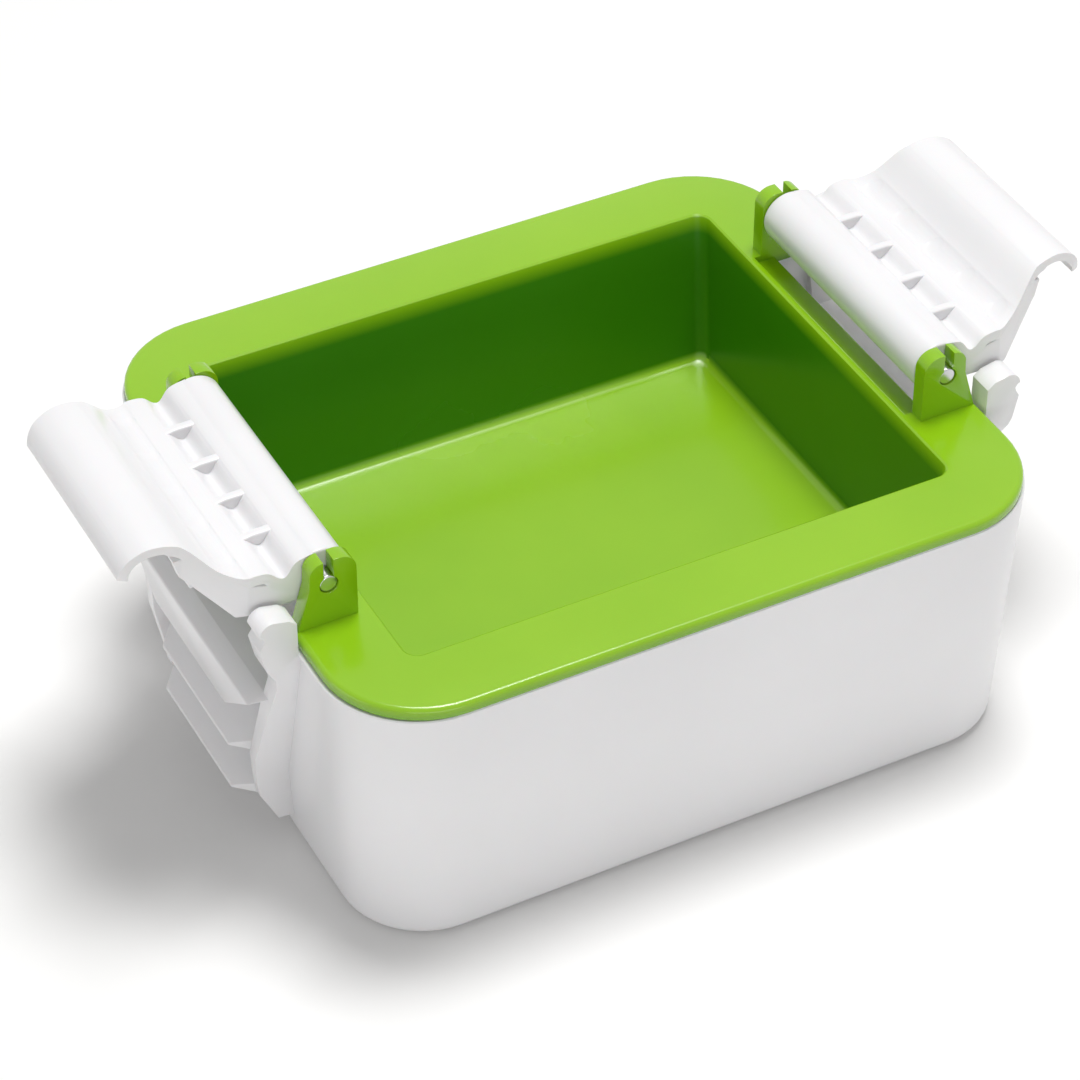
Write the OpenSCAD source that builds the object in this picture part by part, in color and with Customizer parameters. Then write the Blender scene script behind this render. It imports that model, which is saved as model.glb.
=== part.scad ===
// Box-shaped tofu press: tub, drain basket, plunger lid and two side clips on steel pins.
// Origin: centre of the tub's underside. +X points to the right clip, -Y to the front, +Z up.

/* [Tub] */
// Length of the tub at the rim's height, along X
tub_l = 160; // [154:1:170]
// Width of the tub at the rim's height, along Y
tub_w = 137.6; // [130:0.2:150]
// Height of the tub's top edge
tub_h = 62.4; // [60:0.2:66]
// How much each side leans in from rim to base
tub_draft = 3; // [2:0.5:4]
// Corner radius at the rim
corner_r = 21.7; // [18:0.1:25]
// Thickness of the tub's walls
tub_wall = 2.4; // [1.8:0.1:3]
// Thickness of the tub's floor
tub_floor = 2.6; // [2:0.1:4]
// Rounding around the underside
base_edge_r = 3; // [1.5:0.5:4]

/* [Clip bracket] */
// How far the cheeks stand out beyond the rim
cheek_out = 8; // [7:0.5:9]
// Depth of the cheeks' tops below the hinge line
cheek_down = 2.5; // [2:0.1:4]
// Thickness of a cheek at its top
cheek_t = 5.8; // [4.5:0.1:6.5]
// Thickness of a cheek at its foot
cheek_low_t = 2.2; // [1.8:0.1:3]
// Gap between a clip's end and the cheek beside it
cheek_gap = 0.9; // [0.5:0.1:1.5]
// Height below which the cheeks draw in
cheek_bend_z = 56; // [54:1:58]
// Half the gap between the cheeks at their lower bend
cheek_low_half = 22; // [20:0.5:23]
// Height of the cheeks' lower bend
cheek_low_z = 18; // [16:1:22]
// Height of the cheeks' foot
cheek_foot_z = 5.5; // [4:0.5:6]
// How far the recess behind the hinge line goes
recess_in = 2.9; // [2.6:0.1:3.2]
// Depth of the recess floor below the hinge line
recess_down = 27; // [26.5:0.5:28]
// Wall of the recess
recess_wall = 1.8; // [1.4:0.1:1.9]
// How much wider the recess is than the gap between the cheeks, at each side
recess_more = 1.2; // [0.6:0.1:1.6]

/* [Teeth] */
// How far the teeth stand out beyond the rim
tooth_out = 8; // [7:0.1:8.2]
// Depth of the top tooth's edge below the hinge line
tooth_down = 39; // [38:0.5:40]
// Spacing of the teeth
tooth_pitch = 12; // [11:0.5:12.5]
// Half the length of a tooth's edge
tooth_half = 17; // [14:1:18]
// Height of a lower tooth's sloping face
tooth_h = 7; // [5:0.5:8]
// Height of the top tooth's upright front
apron_h = 10; // [8:0.5:10.5]
// Rise of the top tooth's edge towards the cheeks
apron_rise = 0.75; // [0.5:0.05:0.9]

/* [Catch] */
// Distance from the hinge line to the ledge's underside
ledge_r = 20.5; // [20:0.1:21]
// Gap between the ledge and the clip's catch rib
catch_gap = 0.3; // [0.2:0.05:0.5]
// Thickness of the catch rib
catch_t = 2.2; // [1.6:0.1:2.6]
// How far below the hinge line's level the open clip's rib reaches, in degrees
catch_low = 16; // [12:1:18]
// How far the ledge stands out past the hinge line
ledge_out = 4.1; // [3:0.1:4.5]
// Height of the ledge
ledge_h = 3; // [2:0.1:3.5]
// Half the length of the rib
catch_half = 17; // [10:1:20]

/* [Basket] */
// Wall of the basket
basket_wall = 1.5; // [1.2:0.1:1.7]
// Gap between the lid's plunger and the basket
plunger_gap = 0.4; // [0.3:0.05:0.5]
// Depth of the basket's top edge below the tub's
basket_down = 2.4; // [2:0.2:6]
// Height of the basket's feet
foot_h = 3.9; // [2:0.1:5]
// Radius of a foot
foot_r = 4; // [2.5:0.5:5]
// Thickness of the basket's floor
basket_floor = 1.8; // [1.2:0.1:2.6]
// How much each side leans in from top to floor
basket_draft = 0.4; // [0.2:0.1:0.5]
// Radius of a drain hole
drain_r = 1.6; // [1:0.1:2.2]
// Spacing of the drain holes
drain_pitch = 13; // [10:0.5:18]
// Height of a side slot
slot_h = 24; // [12:1:34]
// Width of a side slot
slot_w = 2.4; // [1.6:0.1:3.2]

/* [Lid] */
// Thickness of the rim
rim_t = 3; // [2.6:0.1:3.6]
// How far the rim's short ends sit in from the tub's
rim_in = 0.8; // [0.6:0.1:1.2]
// Rounding of the rim's outer edges
rim_edge_r = 1.2; // [0.5:0.1:1.3]
// Distance of the pocket's end from the hinge line
pocket_in = 9.25; // [9.2:0.05:9.8]
// Width of the rim beside the pocket
pocket_side = 16.85; // [15:0.05:20]
// How much the pocket's short sides lean in
pocket_lean_x = 1.15; // [0.5:0.05:2]
// How much the pocket's long sides lean in
pocket_lean_y = 4.95; // [2:0.05:6]
// Height of the pocket's floor
pocket_z = 28.5; // [27:0.5:36]
// Corner radius of the pocket
pocket_r = 3; // [2:0.5:5]
// Wall of the pocket
pocket_wall = 2; // [1.5:0.1:2]
// Thickness of the pressing plate
plate_t = 2.6; // [2:0.1:4]
// Depth of the troughs behind the clips, below the rim's top
trough_down = 1.6; // [1.5:0.1:1.8]
// Distance of the trough's edge from the hinge line
trough_in = 2.2; // [1.8:0.1:2.6]
// Gap between the trough and the recess wall under it
trough_gap = 1.7; // [0.3:0.1:2]
// Rounding of the ridge between the pocket and a trough
ridge_r = 0.7; // [0.4:0.1:0.7]

/* [Ears] */
// Thickness of a hinge ear
ear_t = 3.6; // [2.8:0.1:4]
// Width of a hinge ear at the pin
ear_w = 12; // [11:0.2:12.4]
// Gap between an ear and the clip's end
ear_gap = 0.3; // [0.2:0.05:0.5]
// Width of the snap slot above the pin
snap_w = 2.2; // [1.8:0.1:3]

/* [Clip] */
// How far the lip reaches from the hinge line
clip_reach = 39.3; // [38.7:0.1:39.6]
// Distance of the hinge line in from the rim's end
hinge_in = 8.6; // [8.4:0.1:8.8]
// Height of the hinge line above the rim's top
hinge_up = 9.6; // [9.2:0.1:10]
// Half the clip's length along its hinge
clip_half = 31.3; // [29:0.1:32]
// Half the clip's length behind its crest
crest_half = 25.6; // [24.6:0.1:27]
// Half the length of the clip's lip
lip_half = 24.4; // [22:0.1:24.5]
// Radius of the hinge barrel
barrel_r = 6; // [5.4:0.1:6.2]
// Thickness of the panel
clip_t = 2.4; // [2:0.1:2.6]
// Thickness of the lip
lip_t = 1.9; // [1.6:0.1:2]
// Thickness of the side webs under the panel
web_t = 2.2; // [1.6:0.1:3]
// Number of hollows in the valley behind the barrel
hollow_n = 5; // [3:1:6]
// Thickness of the ribs between the hollows
rib_t = 2; // [1.2:0.1:3]
// Rounding of the lip's corners
lip_corner_r = 4.5; // [2:0.5:6]

/* [Pin] */
// Radius of the steel pin
pin_r = 2; // [1.6:0.1:2.4]
// Running gap round the pin in the ears
pin_gap = 0.05; // [0.02:0.01:0.08]
// Gap round the pin in the clip's barrel
grip_gap = 0.02; // [0.01:0.01:0.05]
// How far the pin's end sits back from the ear's face
pin_back = 0.3; // [0.1:0.1:0.8]

/* [Hidden] */
$fn = 72;
eps = 0.01;
far = 40;

white = [0.93, 0.93, 0.94];
green = [0.42, 0.72, 0.05];
steel = [0.75, 0.75, 0.77];

// Shared places
half_l = tub_l / 2;
half_w = tub_w / 2;
rim_z = tub_h + rim_t;
hinge_x = half_l - hinge_in;
hinge_z = rim_z + hinge_up;
hinge = [hinge_x, hinge_z];
core_x = half_l - corner_r;
core_y = half_w - corner_r;
base_r = corner_r - tub_draft;

// Across the bracket: the clip's ends, the ears, the cheeks
bay_half = clip_half + cheek_gap;
cheek_half = bay_half + cheek_t;
notch_half = clip_half + ear_gap;
ear_out = notch_half + ear_t;

// The bracket from the front
cheek_top = hinge_z - cheek_down;
cheek_front = half_l + cheek_out;
dome_r = 0.375 * cheek_out;
recess_x = hinge_x - recess_in;
recess_z = hinge_z - recess_down;
tooth_x = half_l + tooth_out;
tooth_z = hinge_z - tooth_down;

// The rim's corner centres, the lid's troughs, and the recess wall that ends just below them
rim_core_x = core_x - rim_in;
trough_x = hinge_x - trough_in;
trough_z = rim_z - trough_down;
recess_top = tub_h - trough_gap;

// The lid's pocket, and the basket that fits round its outside
pocket_l = 2 * (hinge_x - pocket_in);
pocket_w = tub_w - 2 * pocket_side;
basket_r = pocket_r + pocket_wall + plunger_gap;
basket_half_l = pocket_l / 2 + pocket_wall + plunger_gap;
basket_half_w = pocket_w / 2 + pocket_wall + plunger_gap;
basket_z = tub_floor + foot_h;
basket_top = tub_h - basket_down;

// Radius of the tub's outer corner at a height
function wall_r(z) = base_r + tub_draft * z / rim_z;

// Outer face of the tub's short side at a height, straight above the rounded edge
function wall_x(z) = core_x + base_r + (wall_r(tub_h) - base_r) * (z - base_edge_r) / (tub_h - base_edge_r);

// Points along an arc
function arc_points(centre, r, from, to, n) =
    [for (i = [0:n]) centre + r * [cos(from + (to - from) * i / n), sin(from + (to - from) * i / n)]];

// A smooth line through points, with n steps between each pair
function curve_at(p, i, t) =
    let (a = p[max(i - 1, 0)], b = p[i], c = p[i + 1], d = p[min(i + 2, len(p) - 1)])
    0.5 * (2 * b + (c - a) * t + (2 * a - 5 * b + 4 * c - d) * t * t + (3 * b - a - 3 * c + d) * t * t * t);
function curve(p, n) =
    concat([for (i = [0:len(p) - 2], k = [0:n - 1]) curve_at(p, i, k / n)], [p[len(p) - 1]]);

// Unit vector pointing to the right of a line at one of its points
function side_of(p, i) =
    let (v = p[min(i + 1, len(p) - 1)] - p[max(i - 1, 0)]) [v.y, -v.x] / norm(v);

// Places of a centred row of copies within a span
function row(span, pitch) = let (n = floor(span / pitch)) [for (i = [0:n]) (i - n / 2) * pitch];

// Sweeps an outline, given from the corners' centres outward, round a rectangle of centres
module sweep_round(cx, cy) {
    for (turn = [0:3])
        translate([(turn == 0 || turn == 3 ? 1 : -1) * cx, (turn < 2 ? 1 : -1) * cy, 0])
            rotate([0, 0, 90 * turn]) rotate_extrude(angle = 90) children();
    for (side = [0, 180]) rotate([0, 0, side]) {
        translate([cx, cy, 0]) rotate([90, 0, 0]) linear_extrude(2 * cy) children();
        translate([-cx, cy, 0]) rotate([90, 0, 90]) linear_extrude(2 * cx) children();
    }
}

// A flat slab with round corners
module round_slab(l, w, r, h) {
    linear_extrude(h) {
        square([l, w - 2 * r], center = true);
        square([l - 2 * r, w], center = true);
        for (x = [-1, 1], y = [-1, 1]) translate([x * (l / 2 - r), y * (w / 2 - r)]) circle(r);
    }
}

// A solid whose top and bottom are round slabs of two sizes
module tapered_slab(top_l, top_w, lean_x, lean_y, r, low_z, top_z) {
    hull() {
        translate([0, 0, low_z]) round_slab(top_l - 2 * lean_x, top_w - 2 * lean_y, r, eps, $fn = 32);
        translate([0, 0, top_z - eps]) round_slab(top_l, top_w, r, eps, $fn = 32);
    }
}

// An outline in X and Z, extruded both ways along Y
module across(half) {
    translate([0, half, 0]) rotate([90, 0, 0]) linear_extrude(2 * half) children();
}

// An outline in Y and Z, extruded along X to beyond the bracket
module along() {
    rotate([90, 0, 90]) linear_extrude(half_l + far) children();
}

module both_ends() {
    children();
    mirror([1, 0, 0]) children();
}

// ---- Tub ----

module tub_outline() {
    inner_r = wall_r(tub_floor) - tub_wall;
    polygon(concat(
        [[0, 0]],
        arc_points([wall_r(0) - base_edge_r, base_edge_r], base_edge_r, -90, 0, 8),
        [[wall_r(tub_h), tub_h], [wall_r(tub_h) - tub_wall, tub_h], [inner_r, tub_floor], [0, tub_floor]]));
}

// The cheeks' front edge from foot to groove, as shares of cheek_out and of cheek_top
cheek_line = [[0.075, 0.083], [0.55, 0.193], [0.788, 0.386], [0.625, 0.621], [0.5, 0.731], [0.6, 0.786],
    [0.85, 0.834], [1, 0.914], [0.875, 0.939], [0.925, 0.953]];

// A cheek from the front, against the tub's wall: foot, front edge, groove, dome
module bracket_side() {
    polygon(concat(
        [[wall_x(cheek_foot_z), cheek_foot_z]],
        [for (p = cheek_line) [half_l + p.x * cheek_out, p.y * cheek_top]],
        arc_points([cheek_front - dome_r, cheek_top - dome_r], dome_r, 5, 90, 8),
        [[wall_x(tub_h) + 1.6, cheek_top - 0.8], [wall_x(tub_h), cheek_top - 2.2],
         [wall_x(tub_h), tub_h]]));
}

// The apron that forms the top tooth, from the front
module apron_side() {
    low = tooth_z + 2.5;
    polygon([[wall_x(low), low], [tooth_x, tooth_z], [tooth_x + 0.4, tooth_z + 1],
        [tooth_x + 0.4, tooth_z + apron_h], [tooth_x - 3.6, recess_z], [wall_x(recess_z), recess_z]]);
}

// The cheeks' outer faces, from the end
module bracket_end() {
    low = cheek_low_half + cheek_low_t;
    bend = cheek_bend_z + 3;
    top = cheek_top + 1;
    polygon([[-low, 0], [low, 0], [low, cheek_low_z], [cheek_half, bend], [cheek_half, top],
        [-cheek_half, top], [-cheek_half, bend], [-low, cheek_low_z]]);
}

// The space between the cheeks, from the end
module bay_end() {
    top = cheek_top + far;
    low = cheek_low_half;
    polygon([[-low, 0], [low, 0], [low, cheek_low_z], [bay_half, cheek_bend_z],
        [bay_half, top], [-bay_half, top], [-bay_half, cheek_bend_z], [-low, cheek_low_z]]);
}

// The apron's front, from the end: its edge rises from the tooth towards the cheeks
module apron_end() {
    rise = apron_rise * (cheek_half - tooth_half);
    polygon([[-tooth_half, tooth_z - 1], [tooth_half, tooth_z - 1], [tooth_half, tooth_z],
        [cheek_half, tooth_z + rise], [cheek_half, recess_z + far], [-cheek_half, recess_z + far],
        [-cheek_half, tooth_z + rise], [-tooth_half, tooth_z]]);
}

// The ledge in the recess, whose underside follows the catch rib's swing
module ledge_side() {
    top = hinge_z - ledge_r + ledge_h;
    polygon(concat(
        [[recess_x - 1, top], [hinge_x + ledge_out - 1.2, top - 0.4]],
        arc_points(hinge, ledge_r, -acos(ledge_out / ledge_r), -90 - asin(recess_in / ledge_r) - 1, 8),
        [[recess_x - 1, hinge_z - ledge_r]]));
}

module lower_tooth(z) {
    top = z + tooth_h;
    low = z + 0.8;
    outer = half_l + 1;
    outer_half = cheek_low_half + cheek_low_t;
    intersection() {
        along() bracket_end();
        across(cheek_half)
            polygon([[wall_x(top), top], [tooth_x - 0.4, low], [tooth_x, z], [wall_x(low), low]]);
        translate([0, 0, z - 1]) linear_extrude(tooth_h + 2)
            polygon([[core_x, -far], [outer, -outer_half], [tooth_x, -tooth_half], [tooth_x, tooth_half],
                [outer, outer_half], [core_x, far]]);
    }
}

// The clip bracket, which is moulded with the tub and stands against its wall
module bracket() {
    color(white) {
        difference() {
            intersection() {
                across(cheek_half) bracket_side();
                along() bracket_end();
            }
            along() bay_end();
        }
        intersection() {
            across(cheek_half) apron_side();
            along() apron_end();
            along() bracket_end();
        }
        for (i = [1, 2]) lower_tooth(tooth_z - i * tooth_pitch);
    }
}

module right_bracket() { bracket(); }
module left_bracket() { mirror([1, 0, 0]) bracket(); }

module tub() {
    half = bay_half + recess_more;
    back_x = recess_x - recess_wall;
    floor_z = recess_z - recess_wall;
    color(white) {
        difference() {
            union() {
                sweep_round(core_x, core_y) tub_outline();
                translate([-core_x, -core_y, 0]) cube([2 * core_x, 2 * core_y, tub_floor]);
                both_ends() translate([back_x, -cheek_half, floor_z])
                    cube([wall_x(recess_z) - tub_wall / 2 - back_x, 2 * cheek_half, tub_h - floor_z]);
            }
            both_ends() {
                translate([recess_x, -half, recess_z]) cube([far, 2 * half, far]);
                translate([back_x - 1, -half, recess_top]) cube([recess_wall + 2, 2 * half, far]);
            }
        }
        both_ends() across(catch_half + 0.5) ledge_side();
    }
}

// ---- Basket ----

module basket_outline() {
    r = basket_r - basket_draft;
    polygon([[0, basket_z], [r + basket_wall, basket_z], [basket_r + basket_wall, basket_top],
        [basket_r, basket_top], [r, basket_z + basket_floor], [0, basket_z + basket_floor]]);
}

module basket() {
    cx = basket_half_l - basket_r;
    cy = basket_half_w - basket_r;
    slot_low = basket_z + basket_floor + 4;
    holes_x = row(2 * cx - 8, drain_pitch);
    holes_y = row(2 * cy - 8, drain_pitch);
    color(white) difference() {
        union() {
            sweep_round(cx, cy) basket_outline();
            translate([-cx, -cy, basket_z]) cube([2 * cx, 2 * cy, basket_floor]);
            for (x = [-cx, 0, cx], y = [-cy, cy])
                translate([x, y, tub_floor]) cylinder(r = foot_r, h = foot_h + eps);
        }
        for (x = holes_x, y = holes_y)
            translate([x, y, basket_z - 1]) cylinder(r = drain_r, h = basket_floor + 2, $fn = 24);
        for (x = holes_x)
            translate([x - slot_w / 2, -half_w, slot_low]) cube([slot_w, 2 * half_w, slot_h]);
        for (y = holes_y)
            translate([-half_l, y - slot_w / 2, slot_low]) cube([2 * half_l, slot_w, slot_h]);
    }
}

// ---- Lid ----

module rim_outline() {
    r = corner_r - rim_edge_r;
    polygon(concat(
        [[0, tub_h]],
        arc_points([r, tub_h + rim_edge_r], rim_edge_r, -90, 0, 5),
        arc_points([r, rim_z - rim_edge_r], rim_edge_r, 0, 90, 5),
        [[0, rim_z]]));
}

// One ear from the front: upright inner side, leaning outer side, crown as shares of its width
module ear_side() {
    inner = -ear_w / 2;
    outer = 0.59 * ear_w;
    polygon(concat(
        [[inner, tub_h + rim_t / 2 - hinge_z], [outer, tub_h + rim_t / 2 - hinge_z], [outer, -hinge_up],
         [0.36 * ear_w, 0]],
        arc_points(ear_w * [0.083, 0.233], 0.267 * ear_w, 10, 80, 6),
        arc_points(ear_w * [-0.2, 0.2], 0.3 * ear_w, 90, 176, 6)));
}

module ear_pair() {
    for (s = [0, 1]) mirror([0, s, 0]) difference() {
        translate([hinge_x, ear_out, hinge_z]) rotate([90, 0, 0]) linear_extrude(ear_t) ear_side();
        translate([hinge_x, ear_out + 1, hinge_z]) rotate([90, 0, 0])
            cylinder(r = pin_r + pin_gap, h = ear_t + 2);
        translate([hinge_x - snap_w / 2, notch_half - 1, hinge_z]) cube([snap_w, ear_t + 2, 2 * barrel_r]);
    }
}

// The cut behind a clip, from the front: over the ridge, down into the trough, out past its floor
module trough_side() {
    ridge_x = pocket_l / 2 + pocket_wall;
    polygon(concat(
        [[ridge_x - ridge_r, rim_z + 1]],
        arc_points([ridge_x - ridge_r, rim_z - ridge_r], ridge_r, 90, 0, 6),
        arc_points([ridge_x + ridge_r, trough_z + ridge_r], ridge_r, 180, 270, 6),
        [[trough_x, trough_z], [trough_x, tub_h - far], [half_l + 1, tub_h - far],
         [half_l + 1, rim_z + 1]]));
}

module lid() {
    outer_l = pocket_l + 2 * pocket_wall;
    outer_w = pocket_w + 2 * pocket_wall;
    plate_in = basket_draft + plunger_gap;
    color(green) {
        difference() {
            union() {
                sweep_round(rim_core_x, core_y) rim_outline();
                translate([-rim_core_x, -core_y, tub_h]) cube([2 * rim_core_x, 2 * core_y, rim_t]);
                tapered_slab(outer_l, outer_w, pocket_lean_x, pocket_lean_y, pocket_r + pocket_wall,
                    pocket_z - plate_t, tub_h + 1);
                translate([0, 0, pocket_z - plate_t])
                    round_slab(2 * (basket_half_l - plate_in), 2 * (basket_half_w - plate_in),
                        basket_r, plate_t);
            }
            tapered_slab(pocket_l, pocket_w, pocket_lean_x, pocket_lean_y, pocket_r, pocket_z, rim_z + eps);
            both_ends() across(notch_half) trough_side();
        }
        both_ends() ear_pair();
    }
}

// ---- Clips, drawn with the hinge line at the origin ----

// The outlines are drawn for this reach, and grow with clip_reach
drawn_reach = 39.3;
grow = clip_reach / drawn_reach;

// The upper face from the front: barrel, valley, hump, dished panel, crest, lip
clip_line = concat([[1.5, barrel_r - 0.3]], grow * [[5.2, 4.8], [7.3, 2.2], [8.8, 2.2], [11.1, 4.2],
    [14.1, 4.7], [16.8, 4.6], [20.7, 6.7], [25.4, 11.9], [28.6, 13.7], [33, 14.1], [36.8, 12.5], [38.8, 10],
    [drawn_reach, 7.8]]);

module clip_sheet() {
    top = curve(clip_line, 3);
    last = len(top) - 1;
    under = [for (i = [last:-1:0]) top[i] + side_of(top, i) * (i > 0.7 * last ? lip_t : clip_t)];
    polygon(concat(top, under));
}

// The side webs that stiffen the panel
module clip_web() {
    polygon(grow * [[3, 1], [3, -4.6], [16, -5.2], [18, -5.5], [27.3, 5.3], [28.4, 9.5], [26, 9.9],
        [21.5, 5.4], [17, 3], [9, 0.8]]);
}

// The catch rib under the panel, curved round the hinge line
module catch_rib() {
    r = ledge_r + catch_gap;
    polygon(concat(
        arc_points([0, 0], r, -catch_low, 13, 8),
        arc_points([0, 0], r + catch_t, 13, -catch_low, 8)));
}

// The clip seen from above, drawn in towards the lip
module clip_plan(inset) {
    half = clip_half - inset;
    lip = lip_half - inset;
    tip = 41 * grow - lip_corner_r;
    side = [[-barrel_r - 1, half], [15 * grow, half], [27 * grow, crest_half - inset]];
    round_end = arc_points([tip, lip - lip_corner_r], lip_corner_r, 85, 0, 6);
    right = concat(side, round_end);
    polygon(concat(right, [for (i = [len(right) - 1:-1:0]) [right[i].x, -right[i].y]]));
}

module clip() {
    pitch = 2 * clip_half / hollow_n;
    color(white) difference() {
        intersection() {
            union() {
                across(clip_half) {
                    circle(barrel_r);
                    clip_sheet();
                }
                intersection() {
                    across(clip_half) clip_web();
                    difference() {
                        translate([0, 0, -far / 2]) linear_extrude(far) clip_plan(0);
                        translate([0, 0, -far]) linear_extrude(2 * far) clip_plan(web_t);
                    }
                }
                across(catch_half) catch_rib();
                for (i = [1:hollow_n - 1]) translate([0, i * pitch - clip_half, 0])
                    across(rib_t / 2) polygon(grow * [[4, 4.9], [4, 0], [11.5, 1], [11.5, 4.3]]);
            }
            translate([0, 0, -far]) linear_extrude(2 * far) clip_plan(0);
        }
        across(clip_half + 1) circle(pin_r + grip_gap);
    }
}

module pin() {
    length = 2 * (ear_out - pin_back);
    color(steel) translate([0, length / 2, 0]) rotate([90, 0, 0]) cylinder(r = pin_r, h = length);
}

module at_hinge() {
    translate([hinge_x, 0, hinge_z]) children();
}

module right_clip() { at_hinge() clip(); }
module left_clip() { mirror([1, 0, 0]) at_hinge() clip(); }
module right_pin() { at_hinge() pin(); }
module left_pin() { mirror([1, 0, 0]) at_hinge() pin(); }

tub();
left_bracket();
right_bracket();
basket();
lid();
left_clip();
right_clip();
left_pin();
right_pin();
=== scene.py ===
import math

import bpy
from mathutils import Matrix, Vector


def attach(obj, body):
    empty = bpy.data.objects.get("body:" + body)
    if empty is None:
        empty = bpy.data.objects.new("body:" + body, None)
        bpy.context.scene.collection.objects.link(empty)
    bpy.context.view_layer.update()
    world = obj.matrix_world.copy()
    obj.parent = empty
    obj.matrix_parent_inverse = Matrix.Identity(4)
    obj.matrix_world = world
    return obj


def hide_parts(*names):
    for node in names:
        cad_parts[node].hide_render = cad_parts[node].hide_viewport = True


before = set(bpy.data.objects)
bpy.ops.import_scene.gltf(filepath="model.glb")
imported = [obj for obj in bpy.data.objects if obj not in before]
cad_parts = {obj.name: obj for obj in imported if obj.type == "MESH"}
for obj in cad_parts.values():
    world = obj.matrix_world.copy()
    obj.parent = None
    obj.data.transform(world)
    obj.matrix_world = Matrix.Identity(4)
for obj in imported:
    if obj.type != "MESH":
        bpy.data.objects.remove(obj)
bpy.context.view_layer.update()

mm = 0.001

# places shared by several pieces, in mm
tubTop = 62.4
rimTop = 65.4
hinge = {"x": 71.4, "z": 75.0}
bay = 32.2  # half the gap between the cheeks
cheek = 38.0  # half the width over the cheeks
pinSize = {"r": 2, "half": 34.9, "clipRoom": 0.02, "earRoom": 0.05}
earSize = {"near": 31.6, "far": 35.2, "foot": 63.9, "back": 6, "front": 7.1, "slot": 2.2}
# radii about the hinge line, and half lengths, of the tub's ledge and each clip's catch rib
catch = {"ledgeR": 20.5, "ledgeHalf": 17.5, "ribIn": 20.8, "ribOut": 23, "ribHalf": 17}
# the lid's painted shade starts at the first height and is full at the second
shadeHeights = (64.5, 61.0)


def only(obj):
    bpy.ops.object.select_all(action="DESELECT")
    obj.select_set(True)
    bpy.context.view_layer.objects.active = obj


def edit(obj, pick="SELECT"):
    only(obj)
    bpy.ops.object.mode_set(mode="EDIT")
    bpy.ops.mesh.select_all(action=pick)


def done():
    bpy.ops.object.mode_set(mode="OBJECT")


def tidyMesh(obj):
    edit(obj)
    bpy.ops.mesh.remove_doubles(threshold=0.000001)
    bpy.ops.mesh.normals_make_consistent(inside=False)
    done()


def block(name, low, high):
    size = [(b - a) * mm for a, b in zip(low, high)]
    centre = [(a + b) / 2 * mm for a, b in zip(low, high)]
    bpy.ops.mesh.primitive_cube_add(size=1, location=centre)
    obj = bpy.context.object
    obj.name = name
    obj.scale = size
    bpy.ops.object.transform_apply(location=True, rotation=True, scale=True)
    return obj


def extruded(name, points, axis, low, high):
    # a closed outline laid across one axis, filled and pulled out along it
    bpy.ops.mesh.primitive_circle_add(vertices=len(points), radius=1, fill_type="NGON")
    obj = bpy.context.object
    obj.name = name
    for v, (a, b) in zip(obj.data.vertices, points):
        place = {"Y": (a, low, b), "X": (low, a, b), "Z": (a, b, low)}[axis]
        v.co = Vector(place) * mm
    step = Vector({"Y": (0, 1, 0), "X": (1, 0, 0), "Z": (0, 0, 1)}[axis]) * (high - low) * mm
    edit(obj)
    bpy.ops.mesh.extrude_region_move(TRANSFORM_OT_translate={"value": step})
    done()
    tidyMesh(obj)
    return obj


def rounded(length, width, radius, steps=12):
    pts = []
    for cx, cy, start in ((1, 1, 0), (-1, 1, 90), (-1, -1, 180), (1, -1, 270)):
        for i in range(steps + 1):
            a = math.radians(start + 90 * i / steps)
            pts.append((cx * (length / 2 - radius) + radius * math.cos(a),
                        cy * (width / 2 - radius) + radius * math.sin(a)))
    return pts


def stacked(name, rings):
    # a closed skin through rings of the same count, capped at both ends
    first = rings[0]
    bpy.ops.mesh.primitive_circle_add(vertices=len(first[0]), radius=1, fill_type="NGON")
    obj = bpy.context.object
    obj.name = name
    count = len(first[0])
    for v, (x, y) in zip(obj.data.vertices, first[0]):
        v.co = Vector((x, y, first[1])) * mm
    for pts, z in rings[1:]:
        before = len(obj.data.vertices)
        edit(obj, "DESELECT")
        done()
        for f in obj.data.polygons:
            f.select = f.index == capOf(obj, count)
        bpy.ops.object.mode_set(mode="EDIT")
        bpy.ops.mesh.extrude_region_move(TRANSFORM_OT_translate={"value": (0, 0, 0.0001)})
        done()
        cap = obj.data.polygons[capOf(obj, count)]
        ids = list(cap.vertices)
        old = [obj.data.vertices[i].co.copy() for i in ids]
        if len(obj.data.vertices) == before:
            raise RuntimeError("ring was not added to " + name)
        last = rings[rings.index((pts, z)) - 1]
        for i, co in zip(ids, old):
            k = min(range(count), key=lambda j: (last[0][j][0] * mm - co.x) ** 2
                    + (last[0][j][1] * mm - co.y) ** 2)
            obj.data.vertices[i].co = Vector((pts[k][0], pts[k][1], z)) * mm
    tidyMesh(obj)
    return obj


def capOf(obj, count):
    # the newest many-sided face that was drawn: the one whose corners come last
    caps = [f for f in obj.data.polygons if len(f.vertices) == count]
    return max(caps, key=lambda f: max(f.vertices)).index


def rod(name, radius, low, high, x, z, sides=64):
    bpy.ops.mesh.primitive_cylinder_add(vertices=sides, radius=radius * mm, depth=(high - low) * mm,
                                        location=(x * mm, (low + high) / 2 * mm, z * mm),
                                        rotation=(math.radians(90), 0, 0))
    obj = bpy.context.object
    obj.name = name
    bpy.ops.object.transform_apply(location=True, rotation=True, scale=True)
    return obj


def modify(obj, kind, **settings):
    only(obj)
    m = obj.modifiers.new(kind.lower(), kind)
    for key, value in settings.items():
        setattr(m, key, value)
    bpy.ops.object.modifier_apply(modifier=m.name)


def combine(obj, others, how):
    for other in others:
        modify(obj, "BOOLEAN", operation=how, object=other, solver="MANIFOLD")
        bpy.data.objects.remove(other)
    return obj


def soften(obj, width, segments=2, angle=38):
    modify(obj, "BEVEL", width=width * mm, segments=segments, limit_method="ANGLE",
           angle_limit=math.radians(angle), use_clamp_overlap=True)


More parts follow.
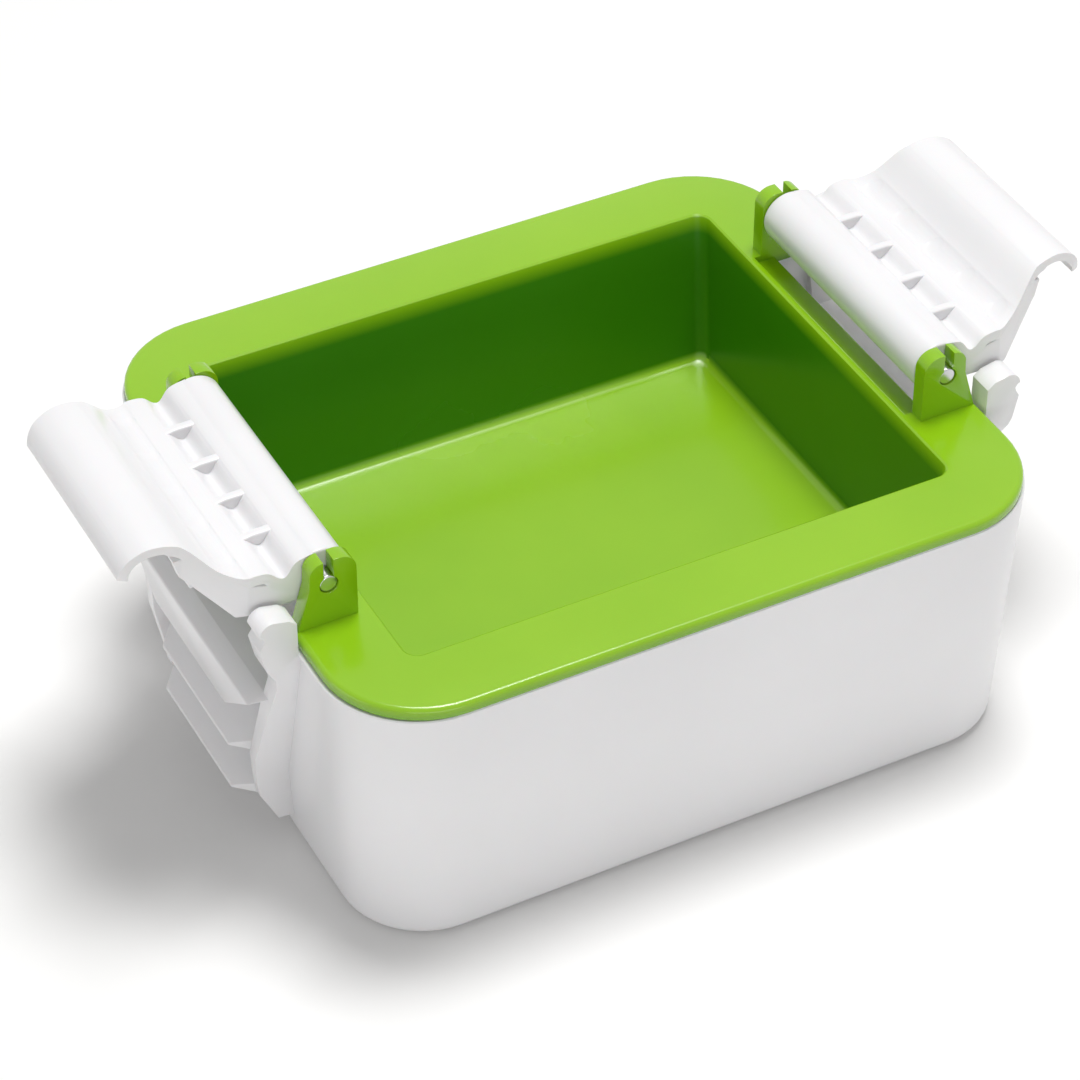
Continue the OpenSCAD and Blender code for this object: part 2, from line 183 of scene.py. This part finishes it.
def finishShape(obj, angle=32):
    tidyMesh(obj)
    only(obj)
    bpy.ops.object.shade_smooth_by_angle(angle=math.radians(angle))


def mirrored(obj, name):
    only(obj)
    bpy.ops.object.duplicate()
    copy = bpy.context.object
    copy.name = name
    copy.scale = (-1, 1, 1)
    bpy.ops.object.transform_apply(location=True, rotation=True, scale=True)
    tidyMesh(copy)
    return copy


def arc(cx, cz, r, start, end, steps):
    return [(cx + r * math.cos(math.radians(start + (end - start) * i / steps)),
             cz + r * math.sin(math.radians(start + (end - start) * i / steps))) for i in range(steps + 1)]


def smoothLine(pts, steps):
    # a curve through all the points, with steps between each pair
    out = []
    for i in range(len(pts) - 1):
        a, b, c, d = pts[max(i - 1, 0)], pts[i], pts[i + 1], pts[min(i + 2, len(pts) - 1)]
        for k in range(steps):
            t = k / steps
            out.append(tuple(0.5 * (2 * b[j] + (c[j] - a[j]) * t
                                    + (2 * a[j] - 5 * b[j] + 4 * c[j] - d[j]) * t * t
                                    + (3 * b[j] - a[j] - 3 * c[j] + d[j]) * t ** 3) for j in (0, 1)))
    return out + [tuple(pts[-1])]


def wallX(z):
    # near the outer face of the tub's short side at a height
    return 77 + 2.862 * (z - 3) / 59.4


# ---- materials ----

def paintShade(nodes, links, coord, ramp, shader, depth):
    # painted shade: upright faces below the rim are darkened towards the colour depth, by height, standing
    # in for the shade on the pocket's and trough's walls; the plunger's outer faces are darkened too
    place = nodes.new("ShaderNodeSeparateXYZ")
    links.new(coord.outputs["Object"], place.inputs["Vector"])
    below = nodes.new("ShaderNodeMapRange")
    below.inputs["From Min"].default_value = shadeHeights[0] * mm
    below.inputs["From Max"].default_value = shadeHeights[1] * mm
    links.new(place.outputs["Z"], below.inputs["Value"])
    facing = nodes.new("ShaderNodeSeparateXYZ")
    links.new(nodes.new("ShaderNodeNewGeometry").outputs["Normal"], facing.inputs["Vector"])
    upright = nodes.new("ShaderNodeMapRange")
    upright.inputs["From Min"].default_value = 0.8
    upright.inputs["From Max"].default_value = 0.3
    links.new(facing.outputs["Z"], upright.inputs["Value"])
    both = nodes.new("ShaderNodeMath")
    both.operation = "MULTIPLY"
    links.new(below.outputs["Result"], both.inputs[0])
    links.new(upright.outputs["Result"], both.inputs[1])
    shadeMix = nodes.new("ShaderNodeMixRGB")
    shadeMix.blend_type = "MULTIPLY"
    shadeMix.inputs["Color2"].default_value = (*depth, 1)
    links.new(both.outputs["Value"], shadeMix.inputs["Fac"])
    links.new(ramp.outputs["Color"], shadeMix.inputs["Color1"])
    links.new(shadeMix.outputs["Color"], shader.inputs["Base Color"])


def plastic(name, deep, light, roughness, grain, coat, depth=None):
    mat = bpy.data.materials.new(name)
    mat.use_nodes = True
    nodes, links = mat.node_tree.nodes, mat.node_tree.links
    shader = nodes["Principled BSDF"]
    coord = nodes.new("ShaderNodeTexCoord")
    cloud = nodes.new("ShaderNodeTexNoise")
    cloud.inputs["Scale"].default_value = 18
    cloud.inputs["Detail"].default_value = 5
    links.new(coord.outputs["Object"], cloud.inputs["Vector"])
    ramp = nodes.new("ShaderNodeValToRGB")
    ramp.color_ramp.elements[0].position = 0.3
    ramp.color_ramp.elements[0].color = (*deep, 1)
    ramp.color_ramp.elements[1].position = 0.7
    ramp.color_ramp.elements[1].color = (*light, 1)
    links.new(cloud.outputs["Fac"], ramp.inputs["Fac"])
    links.new(ramp.outputs["Color"], shader.inputs["Base Color"])
    fine = nodes.new("ShaderNodeTexNoise")
    fine.inputs["Scale"].default_value = 900
    fine.inputs["Detail"].default_value = 3
    links.new(coord.outputs["Object"], fine.inputs["Vector"])
    wear = nodes.new("ShaderNodeMapRange")
    wear.inputs["To Min"].default_value = roughness - 0.05
    wear.inputs["To Max"].default_value = roughness + 0.05
    links.new(cloud.outputs["Fac"], wear.inputs["Value"])
    links.new(wear.outputs["Result"], shader.inputs["Roughness"])
    bump = nodes.new("ShaderNodeBump")
    bump.inputs["Strength"].default_value = grain
    bump.inputs["Distance"].default_value = 0.0001
    links.new(fine.outputs["Fac"], bump.inputs["Height"])
    links.new(bump.outputs["Normal"], shader.inputs["Normal"])
    # painted shade on upright faces below the rim, when a shade colour is given
    if depth:
        paintShade(nodes, links, coord, ramp, shader, depth)
    shader.inputs["IOR"].default_value = 1.48
    shader.inputs["Coat Weight"].default_value = coat
    shader.inputs["Coat Roughness"].default_value = 0.12
    shader.inputs["Subsurface Weight"].default_value = 0.06
    shader.inputs["Subsurface Scale"].default_value = 0.002
    return mat


def steelMaterial():
    mat = bpy.data.materials.new("steel")
    mat.use_nodes = True
    nodes, links = mat.node_tree.nodes, mat.node_tree.links
    shader = nodes["Principled BSDF"]
    coord = nodes.new("ShaderNodeTexCoord")
    stretch = nodes.new("ShaderNodeMapping")
    stretch.inputs["Scale"].default_value = (1, 60, 1)
    links.new(coord.outputs["Object"], stretch.inputs["Vector"])
    lines = nodes.new("ShaderNodeTexNoise")
    lines.inputs["Scale"].default_value = 260
    lines.inputs["Detail"].default_value = 4
    links.new(stretch.outputs["Vector"], lines.inputs["Vector"])
    ramp = nodes.new("ShaderNodeValToRGB")
    ramp.color_ramp.elements[0].color = (0.48, 0.48, 0.50, 1)
    ramp.color_ramp.elements[1].color = (0.72, 0.72, 0.74, 1)
    links.new(lines.outputs["Fac"], ramp.inputs["Fac"])
    links.new(ramp.outputs["Color"], shader.inputs["Base Color"])
    rough = nodes.new("ShaderNodeMapRange")
    rough.inputs["To Min"].default_value = 0.14
    rough.inputs["To Max"].default_value = 0.3
    links.new(lines.outputs["Fac"], rough.inputs["Value"])
    links.new(rough.outputs["Result"], shader.inputs["Roughness"])
    shader.inputs["Metallic"].default_value = 1.0
    return mat


white = plastic("white_plastic", (0.77, 0.765, 0.775), (0.81, 0.805, 0.815), 0.3, 0.06, 0.15)
# the green's last colour is painted shade: it darkens the lid's upright faces below the rim
green = plastic("green_plastic", (0.235, 0.475, 0.002), (0.27, 0.52, 0.005), 0.26, 0.05, 0.3,
                depth=(0.16, 0.42, 0.3))
steel = steelMaterial()


def dress(obj, mat, body, slot, *nodes):
    obj.data.materials.clear()
    obj.data.materials.append(mat)
    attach(obj, body)
    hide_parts(*nodes)


# ---- tub ----

# length, width and corner radius are those at the rim's height
tubSize = {"l": 160, "w": 137.6, "r": 21.7, "lean": 3, "edge": 3, "wall": 2.4, "floor": 2.6,
           "recessX": 68.5, "recessZ": 48, "recessHalf": bay + 1.2, "toothX": 88, "toothZ": 36,
           "lowTeeth": (24, 12)}


def tubRing(z, inset=0):
    s = tubSize
    back = s["lean"] * (1 - z / rimTop) + inset
    return rounded(s["l"] - 2 * back, s["w"] - 2 * back, max(s["r"] - back, 1))


def wallMid(z):
    return wallX(z) - tubSize["wall"] / 2


def makeTub():
    s = tubSize
    rings = []
    for i in range(7):
        a = math.radians(90 * i / 6)
        rings.append((tubRing(0, s["edge"] * (1 - math.sin(a))), s["edge"] * (1 - math.cos(a))))
    rings += [(tubRing(z), z) for z in (20, 40, 62.1)] + [(tubRing(tubTop, 0.25), tubTop)]
    tub = stacked("tub_shell", rings)
    hollow = stacked("tub_hollow", [(tubRing(s["floor"], 4.2), s["floor"]), (tubRing(4.4, 2.5), 4.4),
                                    (tubRing(tubTop, s["wall"]), 70)])
    combine(tub, [hollow], "DIFFERENCE")
    half, low = s["recessHalf"] + 0.3, s["recessZ"] - 0.3
    for x1, x2 in ((s["recessX"], 130), (-130, -s["recessX"])):
        combine(tub, [block("cut", (x1, -half, low), (x2, half, 120))], "DIFFERENCE")
    print("tub shell done")
    right = makeBracket()
    left = mirrored(right, "bracket_left")
    combine(tub, [right, left], "UNION")
    finishShape(tub, 30)
    tub.name = "tub_look"
    return tub


def bracketSide():
    # from the front: foot, front edge, groove, dome, then back round the recess
    s = tubSize
    backX, floorZ = s["recessX"] - 1.8, s["recessZ"] - 1.8
    pts = [(wallMid(5.5), 5.5), (80.6, 6), (84.4, 14), (86.3, 28), (85, 45), (84, 53), (84.8, 57),
           (86.8, 60.5), (88, 66.3), (87.2, 67.6), (86.9, 68.6), (87.3, 69.3)]
    pts += arc(85, 69.5, 3, 5, 90, 10)
    pts += [(81.5, 71.7), (79.86, 70.3), (79.86, 62.3), (backX, 62.3), (backX, floorZ),
            (wallMid(s["recessZ"]), floorZ)]
    return pts


def funnel(name, foot, wide, bottom, bend, top, footTop=18):
    # the bracket from the end: narrow at its foot, leaning out, upright at the cheeks
    return extruded(name, [(-foot, bottom), (foot, bottom), (foot, footTop), (wide, bend), (wide, top),
                           (-wide, top), (-wide, bend), (-foot, footTop)], "X", 0, 130)


def makeBracket():
    s = tubSize
    backX, floorZ, half = s["recessX"], s["recessZ"], s["recessHalf"]
    tx, tz, edge = s["toothX"], s["toothZ"], 17
    cheeks = extruded("bracket", bracketSide(), "Y", -cheek, cheek)
    combine(cheeks, [funnel("outer", 24.2, cheek, -5, 59, 80)], "INTERSECT")
    gap = funnel("gap", 22, bay, -1, 56, 120)
    swing = extruded("swing", [(backX, 120), (backX, floorZ), (wallMid(floorZ), floorZ),
                               (wallMid(0), -1), (130, -1), (130, 120)], "Y", -bay, bay)
    combine(gap, [swing], "INTERSECT")
    wallTop = block("wall_top", (backX - 3, -half, 60.7), (backX + 1, half, 90))
    room = block("room", (backX, -half, floorZ), (78.9, half, 90))
    combine(cheeks, [gap, wallTop, room], "DIFFERENCE")
    soften(cheeks, 0.5)
    apron = extruded("apron", [(wallMid(tz), tz + 2.5), (tx, tz), (tx + 0.4, tz + 1), (tx + 0.4, tz + 10),
                               (tx - 3.6, floorZ), (wallMid(tz), floorZ)], "Y", -cheek, cheek)
    rise = 0.75 * (cheek - edge)
    face = extruded("face", [(-edge, tz - 1), (edge, tz - 1), (edge, tz), (cheek - 0.2, tz + rise),
                             (cheek - 0.2, 90), (0.2 - cheek, 90), (0.2 - cheek, tz + rise),
                             (-edge, tz)], "X", 0, 130)
    ends = funnel("ends", 24, cheek - 0.4, -5, 59, 80)
    combine(apron, [face, ends], "INTERSECT")
    soften(apron, 0.5)
    teeth = []
    for z in s["lowTeeth"]:
        wall = wallMid(z)
        tooth = extruded("tooth", [(wall, z + 7), (tx - 0.4, z + 0.8), (tx, z), (wall, z + 0.8)],
                         "Y", -30, 30)
        plan = extruded("plan", [(wall - 1, -40), (81, -24.2), (tx, -edge), (tx, edge), (81, 24.2),
                                 (wall - 1, 40)], "Z", z - 1, z + 9)
        side = funnel("side", 24, cheek - 0.4, -5, 59, 80)
        combine(tooth, [plan, side], "INTERSECT")
        soften(tooth, 0.2)
        teeth.append(tooth)
    under = arc(hinge["x"], hinge["z"], catch["ledgeR"], -78.5, -99, 10)
    ledge = extruded("ledge", [(67.5, 57.5), (74.3, 57.1)] + under + [(67.5, 54.5)], "Y",
                     -catch["ledgeHalf"], catch["ledgeHalf"])
    soften(ledge, 0.25)
    combine(cheeks, [apron, ledge] + teeth, "UNION")
    print("bracket done")
    return cheeks


tub = makeTub()
dress(tub, white, "tub", "white_plastic", "tub", "left_bracket", "right_bracket")

# ---- lid ----

pocket = {"l": 124.3, "w": 103.9, "leanX": 1.15, "leanY": 4.95, "floor": 28.5, "wall": 2}
rimSize = {"l": 158.4, "w": 137.6, "r": 21.7, "edge": 1.2, "under": 0.6}


def makeEar(side):
    e, foot = earSize, earSize["foot"] - hinge["z"]
    pts = [(-e["back"], foot), (e["front"], foot), (e["front"], -9.6), (4.3, 0)]
    pts += arc(1, 2.8, 3.2, 10, 80, 8) + arc(-2.4, 2.4, 3.6, 90, 176, 8)
    pts = [(hinge["x"] + x, hinge["z"] + z) for x, z in pts]
    low, high = (e["near"], e["far"]) if side > 0 else (-e["far"], -e["near"])
    ear = extruded("ear", pts, "Y", low, high)
    half = e["slot"] / 2
    slotBox = block("slot", (hinge["x"] - half, low - 1, hinge["z"]), (hinge["x"] + half, high + 1, 90))
    bore = rod("bore", pinSize["r"] + pinSize["earRoom"], low - 1, high + 1, hinge["x"], hinge["z"])
    combine(ear, [bore, slotBox], "DIFFERENCE")
    soften(ear, 0.35, 3, 30)
    return ear


def troughSide():
    # over the ridge, down into the trough, over its rounded edge and out
    pts = [(63.35, 67)] + arc(63.35, 64.6, 0.8, 90, 0, 8) + arc(64.85, 64.5, 0.7, 180, 270, 6)
    return pts + arc(68.7, 63.3, 0.5, 90, 0, 4) + [(69.2, 50), (95, 50), (95, 67)]


def rimRing(inset):
    r = rimSize
    return rounded(r["l"] - 2 * inset, r["w"] - 2 * inset, r["r"] - inset)


def makeLid():
    p, r = pocket, rimSize
    rings = []
    for i in range(6):
        a = math.radians(90 * i / 5)
        rings.append((rimRing(r["under"] * (1 - math.sin(a))), tubTop + r["under"] * (1 - math.cos(a))))
    for i in range(6):
        a = math.radians(90 * i / 5)
        rings.append((rimRing(r["edge"] * (1 - math.cos(a))), rimTop - r["edge"] * (1 - math.sin(a))))
    lid = stacked("lid_rim", rings)
    outerL, outerW = p["l"] + 2 * p["wall"], p["w"] + 2 * p["wall"]
    outerTop = rounded(outerL, outerW, 5)
    outerLow = rounded(outerL - 2 * p["leanX"], outerW - 2 * p["leanY"], 5)
    outer = stacked("plunger", [(outerLow, 25.9), (outerTop, 63.4)])
    foot = stacked("foot", [(rounded(126.6, 106.6, 4.6), 25.9), (rounded(127.6, 107.6, 5.2), 26.4),
                            (rounded(127.6, 107.6, 5.2), 28.5)])
    combine(lid, [outer, foot], "UNION")
    inner = []
    for z, grow in ((28.5, -2.2), (28.8, -1.2), (29.5, -0.4), (30.7, 0)):
        t = (z - p["floor"]) / (rimTop - p["floor"])
        inner.append((rounded(p["l"] - 2 * p["leanX"] * (1 - t) + 2 * grow,
                              p["w"] - 2 * p["leanY"] * (1 - t) + 2 * grow, 3), z))
    for z, grow in ((64.7, 0), (65.1, 0.15), (65.4, 0.6), (66.4, 0.6)):
        inner.append((rounded(p["l"] + 2 * grow, p["w"] + 2 * grow, 3 + grow), z))
    cuts = [stacked("pocket_cut", inner)]
    for side in (1, -1):
        cuts.append(extruded("trough", [(side * x, z) for x, z in troughSide()], "Y",
                             -earSize["near"], earSize["near"]))
    combine(lid, cuts, "DIFFERENCE")
    print("lid shell done")
    ears = [makeEar(1), makeEar(-1)]
    ears += [mirrored(e, "ear_left") for e in list(ears)]
    combine(lid, ears, "UNION")
    finishShape(lid, 30)
    lid.name = "lid_look"
    return lid


lid = makeLid()
dress(lid, green, "lid", "green_plastic", "lid")

# ---- clips, drawn at the hinge line and moved there ----

clipSize = {"half": 31.3, "crest": 25.6, "lip": 24.4, "barrel": 6, "web": 2.2, "thick": 2.4,
            "lipThick": 1.9, "hollows": 5}
# the upper face from the front: barrel, valley, hump, dished panel, crest, lip
clipLine = [(1.5, 5.7), (5.2, 4.8), (7.3, 2.2), (8.8, 2.2), (11.1, 4.2), (14.1, 4.7), (16.8, 4.6),
            (20.7, 6.7), (25.4, 11.9), (28.6, 13.7), (33, 14.1), (36.8, 12.5), (38.8, 10), (39.3, 7.8)]


def hollowed(name, place, size, tilt):
    # a long rounded body that leaves a shallow hollow where it is cut out
    bpy.ops.mesh.primitive_uv_sphere_add(segments=48, ring_count=24, radius=1)
    obj = bpy.context.object
    obj.name = name
    obj.scale = [v * mm for v in size]
    bpy.ops.object.transform_apply(location=False, rotation=False, scale=True)
    obj.rotation_euler = (0, math.radians(tilt), 0)
    obj.location = [v * mm for v in place]
    bpy.ops.object.transform_apply(location=True, rotation=True, scale=False)
    return obj


def clipPlan(inset):
    c = clipSize
    half, crest, lip = c["half"] - inset, c["crest"] - inset, c["lip"] - inset
    right = [(-7, half), (15, half), (27, crest)] + arc(36.5, lip - 4.5, 4.5, 85, 0, 8)
    return right + [(x, -y) for x, y in reversed(right)]


def makeClip():
    c = clipSize
    top = smoothLine(clipLine, 4)
    last = len(top) - 1
    under = []
    for i in range(last, -1, -1):
        a, b = top[max(i - 1, 0)], top[min(i + 1, last)]
        dx, dz = b[0] - a[0], b[1] - a[1]
        n = math.hypot(dx, dz)
        t = c["lipThick"] if i > 0.7 * last else c["thick"]
        under.append((top[i][0] + dz / n * t, top[i][1] - dx / n * t))
    clip = extruded("clip", top + under, "Y", -c["half"], c["half"])
    combine(clip, [extruded("plan", clipPlan(0), "Z", -30, 30)], "INTERSECT")
    tidyMesh(clip)
    soften(clip, 0.35, 3, 50)
    grooves = [hollowed("groove", (17.82, y, 5.97), (3.0, 3.4, 1.2), -25)
               for y in (-25, -12.5, 0, 12.5, 25)]
    combine(clip, grooves, "DIFFERENCE")
    web = extruded("web", [(3, 1), (3, -4.6), (16, -5.2), (18, -5.5), (27.3, 5.3), (28.4, 9.5), (26, 9.9),
                           (21.5, 5.4), (17, 3), (9, 0.8)], "Y", -c["half"], c["half"])
    ring = extruded("ring", clipPlan(0), "Z", -20, 20)
    combine(ring, [extruded("hole", clipPlan(c["web"]), "Z", -30, 30)], "DIFFERENCE")
    combine(web, [ring], "INTERSECT")
    tidyMesh(web)
    soften(web, 0.3, 2, 50)
    ribSide = arc(0, 0, catch["ribIn"], -16, 13, 8) + arc(0, 0, catch["ribOut"], 13, -16, 8)
    rib = extruded("rib", ribSide, "Y", -catch["ribHalf"], catch["ribHalf"])
    soften(rib, 0.3, 2, 50)
    barrel = rod("barrel", c["barrel"], -c["half"], c["half"], 0, 0, 96)
    soften(barrel, 0.5, 3, 50)
    parts = [barrel, web, rib]
    for i in range(1, c["hollows"]):
        y = i * 2 * c["half"] / c["hollows"] - c["half"]
        rib = extruded("hollow_rib", [(3.6, 4.8), (3.6, 0), (12.6, 1), (12.6, 4.35), (9.5, 4.75)],
                       "Y", y - 1, y + 1)
        soften(rib, 0.45, 3, 40)
        parts.append(rib)
    combine(clip, parts, "UNION")
    combine(clip, [rod("bore", pinSize["r"] + pinSize["clipRoom"], -40, 40, 0, 0)], "DIFFERENCE")
    only(clip)
    clip.location = (hinge["x"] * mm, 0, hinge["z"] * mm)
    bpy.ops.object.transform_apply(location=True, rotation=True, scale=True)
    finishShape(clip, 32)
    print("clip done")
    return clip


rightClip = makeClip()
rightClip.name = "right_clip_look"
leftClip = mirrored(rightClip, "left_clip_look")
only(leftClip)
bpy.ops.object.shade_smooth_by_angle(angle=math.radians(32))
dress(rightClip, white, "right_clip", "white_plastic", "right_clip")
dress(leftClip, white, "left_clip", "white_plastic", "left_clip")

# ---- pins ----

for side, name in ((1, "right"), (-1, "left")):
    pin = rod(name + "_pin_look", pinSize["r"], -pinSize["half"], pinSize["half"],
              side * hinge["x"], hinge["z"], 48)
    soften(pin, 0.4, 3, 40)
    finishShape(pin, 40)
    dress(pin, steel, name + "_clip", "steel", name + "_pin")
print("pins done")

# the basket is carried over from the frame
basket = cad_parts["basket"]
basketPlastic = plastic("basket_plastic", (0.74, 0.74, 0.76), (0.8, 0.8, 0.82), 0.4, 0.08, 0.05)
basket.data.materials.clear()
basket.data.materials.append(basketPlastic)

# ---- studio ----

bpy.ops.mesh.primitive_plane_add(size=6, location=(0, 0, 0))
floor = bpy.context.object
floor.name = "floor"
floorMat = bpy.data.materials.new("floor_paint")
floorMat.use_nodes = True
fn, fl = floorMat.node_tree.nodes, floorMat.node_tree.links
coord = fn.new("ShaderNodeTexCoord")
speck = fn.new("ShaderNodeTexNoise")
speck.inputs["Scale"].default_value = 5
fl.new(coord.outputs["Object"], speck.inputs["Vector"])
tone = fn.new("ShaderNodeValToRGB")
tone.color_ramp.elements[0].color = (0.90, 0.895, 0.885, 1)
tone.color_ramp.elements[1].color = (0.92, 0.915, 0.905, 1)
fl.new(speck.outputs["Fac"], tone.inputs["Fac"])
fl.new(tone.outputs["Color"], fn["Principled BSDF"].inputs["Base Color"])
fn["Principled BSDF"].inputs["Roughness"].default_value = 0.8
floor.data.materials.append(floorMat)

world = bpy.context.scene.world or bpy.data.worlds.new("studio")
bpy.context.scene.world = world
world.use_nodes = True
wn, wl = world.node_tree.nodes, world.node_tree.links
room = wn["Background"]
room.inputs["Color"].default_value = (1, 1, 1, 1)
room.inputs["Strength"].default_value = 0.4
shown = wn.new("ShaderNodeBackground")
shown.inputs["Strength"].default_value = 1
path = wn.new("ShaderNodeLightPath")
seen = wn.new("ShaderNodeMath")
seen.operation = "MAXIMUM"
wl.new(path.outputs["Is Camera Ray"], seen.inputs[0])
wl.new(path.outputs["Is Glossy Ray"], seen.inputs[1])
choose = wn.new("ShaderNodeMixShader")
wl.new(seen.outputs["Value"], choose.inputs["Fac"])
wl.new(room.outputs["Background"], choose.inputs[1])
wl.new(shown.outputs["Background"], choose.inputs[2])
wl.new(choose.outputs["Shader"], wn["World Output"].inputs["Surface"])


def lamp(name, place, size, power, target=(0, 0, 0.03)):
    bpy.ops.object.light_add(type="AREA", location=place)
    light = bpy.context.object
    light.name = name
    light.data.shape = "RECTANGLE"
    light.data.size, light.data.size_y = size
    light.data.energy = power
    light.rotation_euler = (Vector(target) - Vector(place)).to_track_quat("-Z", "Y").to_euler()
    return light


lamp("key", (0.15, 0.08, 1.22), (0.42, 0.42), 11.7)
lamp("front_fill", (-0.35, -1.2, 0.1), (1.1, 0.16), 2.4)
lamp("left_fill", (-1.2, 0.1, 0.1), (0.8, 0.16), 1.2)

# ---- camera ----

# fitted to the rim's and the tub's outlines in the picture
cameraSet = {"place": (-0.29409, -0.54997, 0.56002), "target": (-0.0081, -0.0031, 0.0376), "lens": 126.12}
bpy.ops.object.camera_add(location=cameraSet["place"])
camera = bpy.context.object
aim = Vector(cameraSet["target"]) - camera.location
camera.rotation_euler = aim.to_track_quat("-Z", "Y").to_euler()
camera.data.sensor_width = 36
camera.data.lens = cameraSet["lens"]
camera.data.clip_end = 50
bpy.context.scene.camera = camera
bpy.context.scene.view_settings.view_transform = "Standard"
